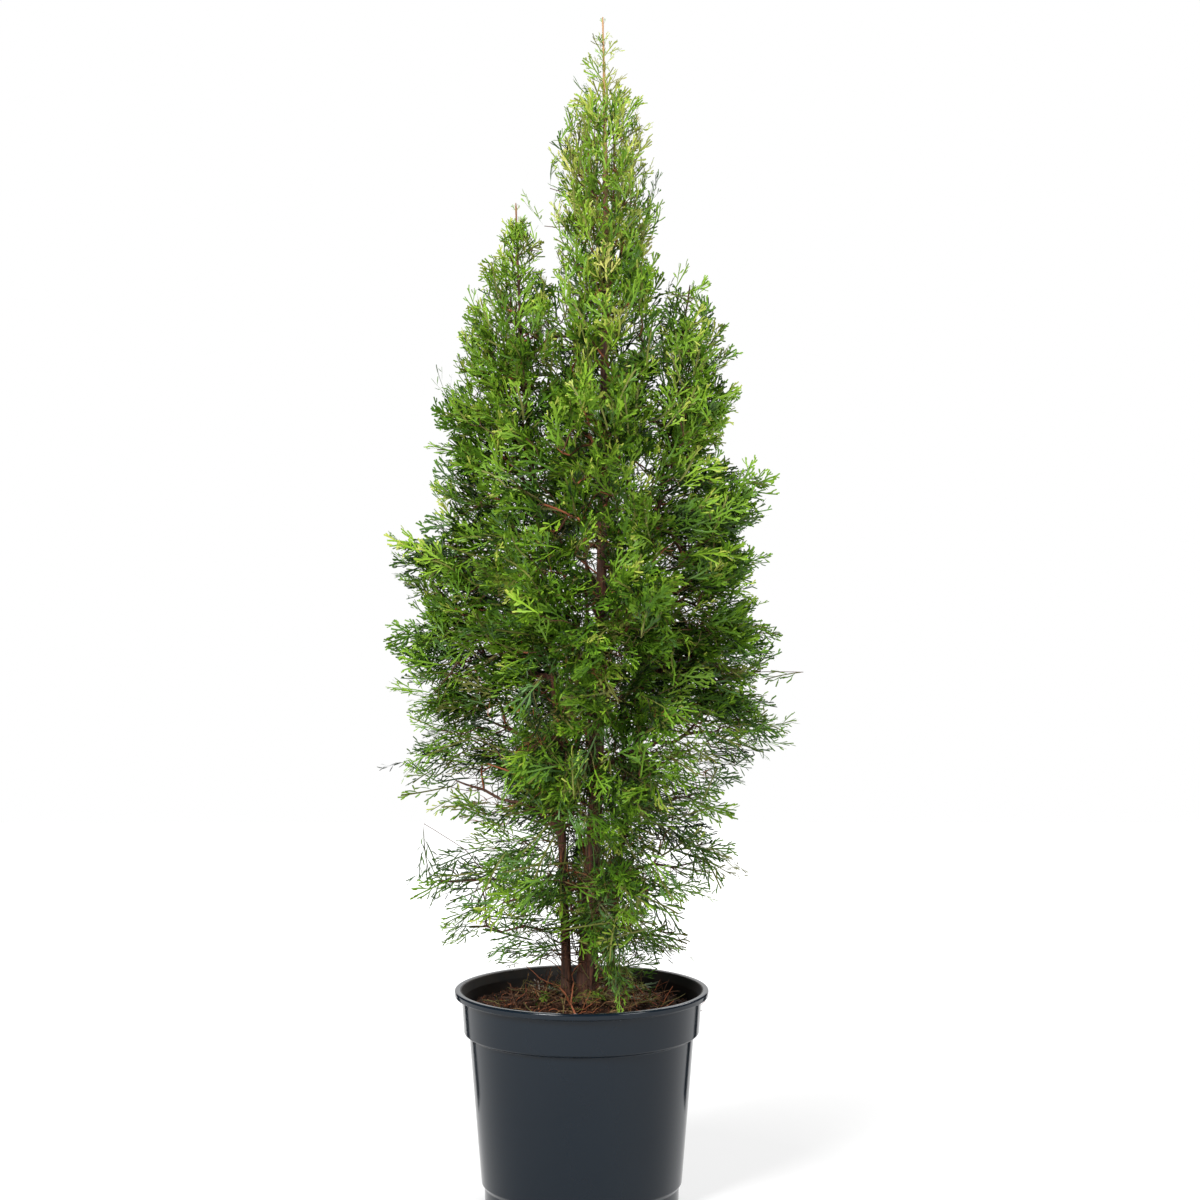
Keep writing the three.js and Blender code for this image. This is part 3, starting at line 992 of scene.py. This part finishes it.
# Length, finger width, spacing of the side shoots, spacing of the fingers and their least length, in mm.
SPRAY_KINDS = [
    (26, 1.5, 5.2, 4.2, 3.5),
    (40, 1.8, 5.8, 4.6, 4),
    (56, 1.9, 6.6, 5.0, 4.5),
    (52, 1.7, 8.0, 6.0, 5.5),
    (72, 1.8, 9.0, 6.6, 6),
    (32, 1.5, 7.6, 5.2, 4),
    (46, 1.7, 8.6, 5.8, 4.5),
]
CLOSE_KINDS = [0, 1, 2]
OPEN_KINDS = [3, 4]
SPRIG_KINDS = [5, 6]
FANS_OF_A_KIND = 4
STALK, BODY, TIP = range(3)


class Fan:
    """One flat spray, made of blunt strips in its own plane, pointing along X."""

    def __init__(self, kind, rng):
        self.points, self.faces, self.marks = [], [], []
        sizes = [size * MM for size in SPRAY_KINDS[kind]]
        self.length, self.finger_width, self.shoot_spacing, self.finger_spacing, self.least_finger = sizes
        self.stalk(self.length, rng)
        self.points = np.array(self.points)
        self.faces = np.array(self.faces)
        self.marks = np.array(self.marks)

    def strip(self, path, width, tilt, mark):
        """A blunt strip along a path, narrow at its start and tilted about its own line."""
        first = len(self.points)
        self.points.append(path[0])
        for i in range(1, len(path)):
            way = unit(path[i] - path[i - 1])
            half = width / 2 * (0.9 if i == len(path) - 1 else 1.0)
            across = unit(np.array([-way[1], way[0], math.tan(tilt)])) * half
            self.points.append(path[i] + across)
            self.points.append(path[i] - across)
        self.faces.append((first, first + 2, first + 1))
        for i in range(1, len(path) - 1):
            left = first + 2 * i - 1
            self.faces += [(left, left + 1, left + 3), (left, left + 3, left + 2)]
        self.marks += [mark] * (2 * len(path) - 3)

    def path(self, start, angle, length, curl, lift, steps):
        """Points along an arc that leaves its start at an angle, and lifts off the plane a little."""
        points = [np.array(start)]
        for step in range(steps):
            turn = angle + curl * (step + 0.5) / steps
            way = np.array([math.cos(turn), math.sin(turn), lift])
            points.append(points[-1] + length / steps * way)
        return np.array(points)

    def stalk(self, length, rng):
        """The stalk with its side shoots, left and right by turns."""
        line = self.path(np.zeros(3), rng.normal(0, 0.06), length, rng.normal(0, 0.3), 0.0, 7)
        self.strip(line, self.finger_width * 1.1, 0.0, STALK)
        steps = max(4, round(length / self.shoot_spacing))
        hand = rng.choice([-1, 1])
        for step in range(1, steps):
            share = (step + rng.uniform(-0.3, 0.3)) / steps
            hand = -hand
            shape = min(1.0, 0.6 + 1.6 * share) * (1.0 - share) ** 0.8
            reach = length * 0.55 * shape * rng.uniform(0.7, 1.2) + 6 * MM
            spread = math.radians(rng.normal(44 - 14 * share, 8))
            angle = angle_of(line, share) + hand * spread
            self.side_shoot(along(line, share), angle, reach, -hand, share, rng)

    def side_shoot(self, start, angle, length, hand, share, rng):
        """A side shoot that curves forward, with its fingers."""
        line = self.path(start, angle, length, hand * rng.uniform(0.1, 0.9), rng.normal(0, 0.2), 3)
        self.strip(line, self.finger_width, rng.normal(0, 0.3), TIP if share > 0.72 else BODY)
        steps = max(2, round(length / self.finger_spacing))
        for step in range(1, steps):
            part = (step + rng.uniform(-0.3, 0.3)) / steps
            reach = (0.24 * length * (1 - part) ** 0.6 + self.least_finger) * rng.uniform(0.7, 1.3)
            spread = math.radians(rng.normal(36, 9))
            hand = -hand
            angle = angle_of(line, part) + hand * spread
            curl = -hand * rng.uniform(0.1, 0.9)
            finger = self.path(along(line, part), angle, reach, curl, rng.normal(0, 0.3), 2)
            young = part > 0.6 or share > 0.6
            self.strip(finger, self.finger_width * 0.95, rng.normal(0, 0.5), TIP if young else BODY)


def along(line, share):
    """The place at a share of a line's points."""
    at = np.linspace(0, 1, len(line))
    return np.array([np.interp(share, at, column) for column in line.T])


def angle_of(line, share):
    """The way a line points at that share, as an angle in its plane."""
    i = min(int(share * (len(line) - 1)), len(line) - 2)
    way = line[i + 1] - line[i]
    return math.atan2(way[1], way[0])


def gathered(sprays, key):
    """One value of each of the sprays, with an axis added after the first for a fan's points."""
    return np.array([getattr(spray, key) for spray in sprays])[:, None]


def laid(fan, sprays):
    """The fan's points and faces at each of the sprays, bent and cupped, with their colours."""
    x, y, z = fan.points.T / fan.length
    lift = z - gathered(sprays, "bend") * x ** 2 - gathered(sprays, "cup") * y ** 2
    flat = gathered(sprays, "way") * x[None, :, None] + gathered(sprays, "side") * y[None, :, None]
    bent = flat + gathered(sprays, "face") * lift[:, :, None]
    places = gathered(sprays, "base") + gathered(sprays, "length")[:, None] * bent
    starts = np.arange(len(sprays)) * len(fan.points)
    faces = starts[:, None, None] + fan.faces[None]
    tints = np.array([spray.tints for spray in sprays])[:, fan.marks]
    return places.reshape(-1, 3), faces.reshape(-1, 3), tints.ravel()


def kinds_at(height, rng):
    """The kinds of spray that grow at a height: open ones low down, and sprigs at the top."""
    chance = rng.random()
    if chance < np.interp(height, [0.50, 0.66], [1, 0]):
        return OPEN_KINDS
    if chance < np.interp(height, [0.66, 0.85, 1.05], [0, 0.15, 0.9]):
        return SPRIG_KINDS
    return CLOSE_KINDS


def make_sprays(name, sprays, fans, nodes, rng):
    """All the sprays of a tier as one piece."""
    groups = [[] for _ in fans]
    for spray in sprays:
        kinds = kinds_at(spray.tip_height, rng)
        kind = min(kinds, key=lambda kind: abs(SPRAY_KINDS[kind][0] * MM - spray.length))
        groups[kind * FANS_OF_A_KIND + int(rng.integers(FANS_OF_A_KIND))].append(spray)
    points, faces, tints, count = [], [], [], 0
    for fan, group in zip(fans, groups):
        if group:
            places, corners_of, colours = laid(fan, group)
            points.append(places)
            faces.append(corners_of + count)
            tints.append(colours)
            count += len(places)
    mesh = array_mesh(name, np.vstack(points), np.vstack(faces), np.concatenate(tints), leaf_finishes)
    settle(link(bpy.data.objects.new(name, mesh)), nodes)


# ---- bare twigs ----

def bare_twigs(growth, rng, lines, tints):
    """Thin leafless twigs with a fork or two, on the inner twigs of the lower crown."""
    for chain in growth.twigs:
        start = growth.places[chain[1]]
        share = np.interp(start[2], [0.30, 0.60, 0.75], [0.6, 0.5, 0.0])
        if crown.share_out(start) > 0.7 or rng.random() > share:
            continue
        outward = unit((start - crown.axis("trunk", start[2])) + 1e-6)
        way = unit(outward + rng.normal(0, 0.5, 3))
        line = wandering(start, way, rng.uniform(0.02, 0.05), 0.5 * MM, 4, rng)
        tint = int(rng.choice([TWIG_BROWN, TWIG_RED, TWIG_OLIVE], p=[0.5, 0.15, 0.35]))
        lines.append(line)
        tints.append(tint)
        for _ in range(rng.integers(1, 4)):
            at = line[rng.integers(1, 4), :3]
            side = unit(way + rng.normal(0, 0.6, 3))
            lines.append(wandering(at, side, rng.uniform(0.008, 0.02), 0.4 * MM, 2, rng))
            tints.append(tint)


def wandering(start, way, length, girth, steps, rng):
    """A thin line that wanders a little and tapers."""
    points = [np.array(start)]
    for _ in range(steps):
        way = unit(way + rng.normal(0, 0.18, 3))
        points.append(points[-1] + way * length / steps)
    girths = np.linspace(girth, girth * 0.6, steps + 1)
    return np.column_stack([points, girths])


# ---- soil ----

SOIL_SIDES = 96
SOIL_RINGS = 30
SOIL_EDGE = 125.5 * MM
SOIL_HIGH = 219 * MM
SOIL_LOW = 214 * MM
SOIL_FLOOR = 6 * MM
LUMP_HEIGHT = 14 * MM
CRUMB_HEIGHT = 10 * MM
ROUGH_ABOVE = 200 * MM
STREWN_ABOVE = 190 * MM
LEAST_UPWARD = 0.3
LUMP_RELIEF = 1.6 * MM
# What is strewn on the bed: name, squash, count for each square metre, and least and most radius.
STREWN = [
    ("soil_clods", (1.0, 0.8, 0.7), 5200.0, 3.0 * MM, 7.0 * MM),
    ("soil_crumbs", (1.0, 0.8, 0.7), 50000.0, 0.7 * MM, 3.6 * MM),
    ("soil_chips", (1.6, 0.7, 0.35), 6500.0, 0.8 * MM, 3.0 * MM),
]
LITTER_COUNT = 170
LITTER_EDGE = 120 * MM
THATCH_COUNT = 150
DEAD_SPRAY_COUNT = 46


def soil_level(radius):
    """The height of the soil's top: higher round the stems, lower at the wall."""
    return SOIL_LOW + (SOIL_HIGH - SOIL_LOW) * math.exp(-(radius / (70 * MM)) ** 2)


def soil_outline():
    rings = [SOIL_EDGE * (1 - i / SOIL_RINGS) for i in range(SOIL_RINGS + 1)]
    top = [Vector((radius, soil_level(radius))) for radius in rings]
    return [Vector((0, SOIL_FLOOR)), Vector((103 * MM, SOIL_FLOOR)), Vector((118 * MM, 170 * MM))] + top


def soil_rule(material):
    """Lifts and lowers the top of the bed in broad lumps and in crumbs."""
    inputs = dict.fromkeys(["Lump height", "Crumb height"], "NodeSocketFloat")
    tree, given = start_rule("soil_lumps", inputs)
    place = tree.add("GeometryNodeInputPosition")
    height = tree.part(place, 2)
    lumps = (tree.noise(place, 38.0, 3.0, 0.6) - 0.5) * given["Lump height"]
    crumbs = (tree.noise(place, 130.0, 3.0, 0.7) - 0.5) * given["Crumb height"]
    lift = tree.add("ShaderNodeCombineXYZ", None, {"Z": lumps + crumbs})
    sockets = {"Geometry": given["Geometry"], "Selection": height > ROUGH_ABOVE, "Offset": lift}
    rough = tree.add("GeometryNodeSetPosition", None, sockets)
    return end_rule(tree, rough, [material])


def scatter_rule(name, material, squash):
    """Small lumps strewn over the top of a piece, each turned and sized by chance."""
    inputs = dict.fromkeys(["Per area", "Least", "Most", "Edge"], "NodeSocketFloat")
    tree, given = start_rule(name, inputs | {"Seed": "NodeSocketInt"})
    normal = tree.add("GeometryNodeInputNormal")
    upward = tree.part(normal, 2)
    place = tree.add("GeometryNodeInputPosition")
    height = tree.part(place, 2)
    away = tree.length(tree.stretched(place, (1, 1, 0)))
    top = (upward > LEAST_UPWARD) * (height > STREWN_ABOVE) * (given["Edge"] > away)
    sockets = {"Mesh": given["Geometry"], "Selection": top}
    sockets |= {"Density": given["Per area"], "Seed": given["Seed"]}
    spots = tree.add("GeometryNodeDistributePointsOnFaces", None, sockets)
    ball = tree.add("GeometryNodeMeshIcoSphere", None, {"Radius": 1.0, "Subdivisions": 1})
    lump = tree.add("GeometryNodeTransform", None, {"Geometry": ball, "Scale": squash})
    size = tree.add("FunctionNodeRandomValue", {"data_type": "FLOAT"},
                    {2: given["Least"], 3: given["Most"], "Seed": given["Seed"]}, output=1)
    turn = tree.add("FunctionNodeRandomValue", {"data_type": "FLOAT_VECTOR"},
                    {0: (0, 0, 0), 1: (6.28, 6.28, 6.28), "Seed": given["Seed"]}, output=0)
    strewn = tree.add("GeometryNodeInstanceOnPoints", None,
                      {"Points": spots, "Instance": lump, "Rotation": turn, "Scale": size})
    real = tree.add("GeometryNodeRealizeInstances", None, {"Geometry": strewn})
    uneven = tree.add("ShaderNodeTexNoise", None, {"Scale": 420.0, "Detail": 1.0}, output="Color")
    centred = tree.vector_math("SUBTRACT", {0: uneven, 1: (0.5, 0.5, 0.5)})
    shift = tree.scaled(centred, LUMP_RELIEF)
    rough = tree.add("GeometryNodeSetPosition", None, {"Geometry": real, "Offset": shift})
    return end_rule(tree, rough, [material])


def litter_line(rng):
    """A curled fibre or dead twig lying on the soil."""
    radius = math.sqrt(rng.uniform(0.06, 0.92)) * SOIL_EDGE
    bearing = rng.uniform(0, 2 * math.pi)
    heading = rng.uniform(0, 2 * math.pi)
    length = rng.uniform(8, 42) * MM
    curl = rng.normal(0, 2.2)
    arch = rng.uniform(0.5, 5) * MM
    steps = 6
    place = np.array([radius * math.cos(bearing), radius * math.sin(bearing)])
    girth = rng.uniform(0.3, 0.75) * MM
    points = []
    for step in range(steps + 1):
        share = step / steps
        radius = np.hypot(place[0], place[1])
        level = soil_level(radius) + 0.8 * MM + arch * math.sin(math.pi * share)
        if radius < LITTER_EDGE:
            points.append((*place, level, girth * (1 - 0.5 * share)))
        turn = heading + curl * share
        place = place + length / steps * np.array([math.cos(turn), math.sin(turn)])
    return np.array(points) if len(points) > 2 else None


def make_soil(rng):
    """The bed of peat, what is strewn on it, and the litter."""
    peat = finish("potting_soil", moist_peat)
    chip = finish("bark_chip", plain(rgb(122, 66, 40), 0.85))
    bed_start = lathe("soil_bed", soil_outline(), SOIL_SIDES, [0] * (SOIL_RINGS + 4), [])
    heights = {"Lump height": LUMP_HEIGHT, "Crumb height": CRUMB_HEIGHT}
    bed = follow_rule("soil_bed", bed_start, soil_rule(peat), heights)
    for name, squash, per_area, least, most in STREWN:
        rule = scatter_rule(name, chip if name == "soil_chips" else peat, squash)
        inputs = {"Per area": per_area, "Least": least, "Most": most}
        inputs |= {"Edge": SOIL_EDGE - most, "Seed": STREWN_SEED}
        settle(follow_rule(name, bed.data.copy(), rule, inputs))
    settle(bed, ["soil"])
    make_litter(rng)


def make_litter(rng):
    """Fibres, a forked twig and a thatch of dead twiglets, all on the soil."""
    fibres = [line for line in (litter_line(rng) for _ in range(LITTER_COUNT)) if line is not None]
    fibre_tints = rng.choice([TWIG_BROWN, TWIG_RED, TWIG_TAN], len(fibres), p=[0.6, 0.3, 0.1])
    fork = forked_twig(rng)
    twiglets = thatch(rng)
    twiglet_tints = rng.choice(len(TWIG_COLOURS), len(twiglets), p=[0.55, 0.18, 0.15, 0.12])
    tints = np.concatenate([fibre_tints, [TWIG_RED] * len(fork), twiglet_tints])
    make_tubes("soil_litter", fibres + fork + twiglets, tints, LITTER_SIDES, 0.0, twig_finishes)


def beside_stems(rng):
    """A place on the soil to the left or the right of the stems, most often somewhat behind them."""
    bearing = rng.choice([0.0, math.pi]) + rng.normal(0, 0.8)
    radius = rng.uniform(18, 95) * MM
    x = radius * math.cos(bearing)
    y = radius * math.sin(bearing) + 22 * MM
    return np.array([x, y, soil_level(math.hypot(x, y))])


def thatch(rng):
    """Dead forked twiglets that lean on each other on the soil beside the stems."""
    lines = []
    for _ in range(THATCH_COUNT):
        way = unit(rng.normal(0, 1, 3) * (1, 1, 0) + UP * rng.uniform(0.1, 0.8))
        line = wandering(beside_stems(rng), way, rng.uniform(0.018, 0.048), 0.6 * MM, 4, rng)
        lines.append(line)
        for _ in range(rng.integers(1, 4)):
            side = unit(way + rng.normal(0, 0.6, 3) * (1, 1, 0.4))
            start = line[rng.integers(1, 4), :3]
            lines.append(wandering(start, side, rng.uniform(0.008, 0.02), 0.4 * MM, 2, rng))
    return lines


def dead_sprays(rng):
    """Brown and faded sprays that lie on the soil beside the stems."""
    sprays = []
    for _ in range(DEAD_SPRAY_COUNT):
        way = unit(rng.normal(0, 1, 3) * (1, 1, 0) + UP * rng.uniform(-0.1, 0.4))
        tip = beside_stems(rng) + UP * rng.uniform(0.004, 0.022)
        spray = Spray(tip, unit(way * (1, 1, 0)), way, rng.uniform(0.022, 0.04), rng)
        spray.tints = rng.choice([STRAW, OLIVE, DEEP], 3, p=[0.35, 0.35, 0.3])
        sprays.append(spray)
    return sprays


def forked_twig(rng):
    """The dead red twig that leans on the soil before the stems."""
    foot = np.array([-3, -62, 212]) * MM
    fork = np.array([-12, -58, 230]) * MM
    tips = np.array([[-24, -60, 249], [-9, -52, 252], [-17, -66, 242]]) * MM
    girth = 1.3 * MM
    lines = [np.array([(*foot, girth), (*((foot + fork) / 2), girth), (*fork, girth * 0.9)])]
    for tip in tips:
        middle = (fork + tip) / 2 + rng.normal(0, 1 * MM, 3)
        lines.append(np.array([(*fork, girth * 0.8), (*middle, girth * 0.65), (*tip, girth * 0.35)]))
    return lines


# ---- floor and cards ----

def lit_floor(tree):
    """A pale floor that glows more, the farther it is from the pot, and ends as white as the room. The
    glow is painted light on a floor that is no lamp.
    """
    away = tree.length(object_place(tree))
    # Painted light: the glow rises from 0.55 near the pot to full white farther out.
    glow = tree.ramp(0.3 * away, [(0.10, grey(0.55)), (0.50, grey(1.0))])
    return {"Base Color": grey(0.35), "Roughness": 0.8, "Emission Color": glow, "Emission Strength": 1.0}


def flat_panel(name, edge, material):
    """A panel with one face, given its four corners."""
    mesh = bpy.data.meshes.new(name)
    mesh.from_pydata(edge, [], [(0, 1, 2, 3)])
    mesh.materials.append(material)
    return link(bpy.data.objects.new(name, mesh))


def make_floor():
    half = 3.0
    edge = [(-half, -half, 0), (half, -half, 0), (half, half, 0), (-half, half, 0)]
    flat_panel("floor", edge, finish("pale_glowing_floor", lit_floor))


def make_gloss_cards():
    """Black cards behind the pot at each side, which only its gloss can see."""
    black = finish("card_black", plain(grey(0.0), 1.0, 0.0))
    for name, hand in (("card_left", -1), ("card_right", 1)):
        near, far, depth, top = 0.285 * hand, 0.385 * hand, 0.30, 0.40
        edge = [(near, depth, 0), (far, depth, 0), (far, depth, top), (near, depth, top)]
        card = flat_panel(name, edge, black)
        card.visible_camera = False
        card.visible_diffuse = False
        card.visible_shadow = False


# ---- the plant ----

# The seeds of all that is dealt out by chance.
SOIL_SEED = 3
STREWN_SEED = 4
GROWTH_SEED = 7
DEALING_SEED = 9
FAN_SEED = 11
TOP_SEED, LEFT_SEED, FOOT_SEED, DEAD_SEED = 21, 22, 23, 24
# How far down the two leaders their small sprigs reach.
TOP_LEADER = 0.13
LEFT_LEADER = 0.09


def leafy_twigs(growth, rng, lines, tints):
    """The twigs that carry the sprays: red or brown where they are thick, else olive or brown."""
    for chain in growth.twigs:
        line = growth.line(chain, LEAST_TWIG_GIRTH)
        lines.append(line)
        thick = line[0, 3] > THICK_TWIG_GIRTH
        choices = [TWIG_BROWN, TWIG_RED] if thick else [TWIG_OLIVE, TWIG_BROWN]
        tints.append(int(rng.choice(choices)))


def make_plant():
    """The crown tier by tier, and then the stems, boughs and twigs that carry it."""
    masses = [Mass(node) for node in sorted(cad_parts) if node.startswith("foliage_")]
    fan_rng = np.random.default_rng(FAN_SEED)
    fans = [Fan(kind, fan_rng) for kind in range(len(SPRAY_KINDS)) for _ in range(FANS_OF_A_KIND)]
    bark_lines = [steady(line, BARK_STEP) for line in crown.lines.values()]
    twig_lines, twig_tints, bare_lines, bare_tints = [], [], [], []
    for tier_number, tier in enumerate(TIERS):
        sprays = []
        members = [mass for mass in masses if mass.tier == tier]
        for number, mass in enumerate(members):
            rng = np.random.default_rng([GROWTH_SEED, tier_number, number])
            growth, leafy = grow(mass, rng)
            sprays += leafy
            bark_lines += [growth.line(chain, LEAST_BOUGH_GIRTH) for chain in growth.boughs]
            leafy_twigs(growth, rng, twig_lines, twig_tints)
            bare_twigs(growth, rng, bare_lines, bare_tints)
        if tier == "spire":
            sprays += leader_sprigs("trunk", TOP_LEADER, np.random.default_rng(TOP_SEED))
            sprays += leader_sprigs("left_stem", LEFT_LEADER, np.random.default_rng(LEFT_SEED))
        if tier == "skirt":
            sprays += foot_sprays(bare_lines, bare_tints, np.random.default_rng(FOOT_SEED))
            sprays += dead_sprays(np.random.default_rng(DEAD_SEED))
        nodes = [mass.node for mass in members]
        rng = np.random.default_rng([DEALING_SEED, tier_number])
        make_sprays(f"sprays_{tier}", sprays, fans, nodes, rng)
    limbs = list(crown.lines) + [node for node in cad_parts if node.startswith("bough_")]
    bark = finish("bark", fibrous_bark)
    make_tubes("bark", bark_lines, [0] * len(bark_lines), BARK_SIDES, BARK_RELIEF, [bark], limbs)
    make_tubes("twigs", twig_lines, twig_tints, TWIG_SIDES, 0.0, twig_finishes)
    make_tubes("bare_twigs", bare_lines, bare_tints, TWIG_SIDES, 0.0, twig_finishes)


set_camera()
set_lights()
set_room()
bpy.context.scene.view_settings.view_transform = "Standard"

leaf_finishes = [finish(name, plain(colour, 0.5)) for name, colour in LEAF_COLOURS.items()]
twig_finishes = [finish(name, plain(colour, 0.75)) for name, colour in TWIG_COLOURS.items()]
crown = Crown()

make_floor()
make_gloss_cards()
make_pot()
make_soil(np.random.default_rng(SOIL_SEED))
make_plant()
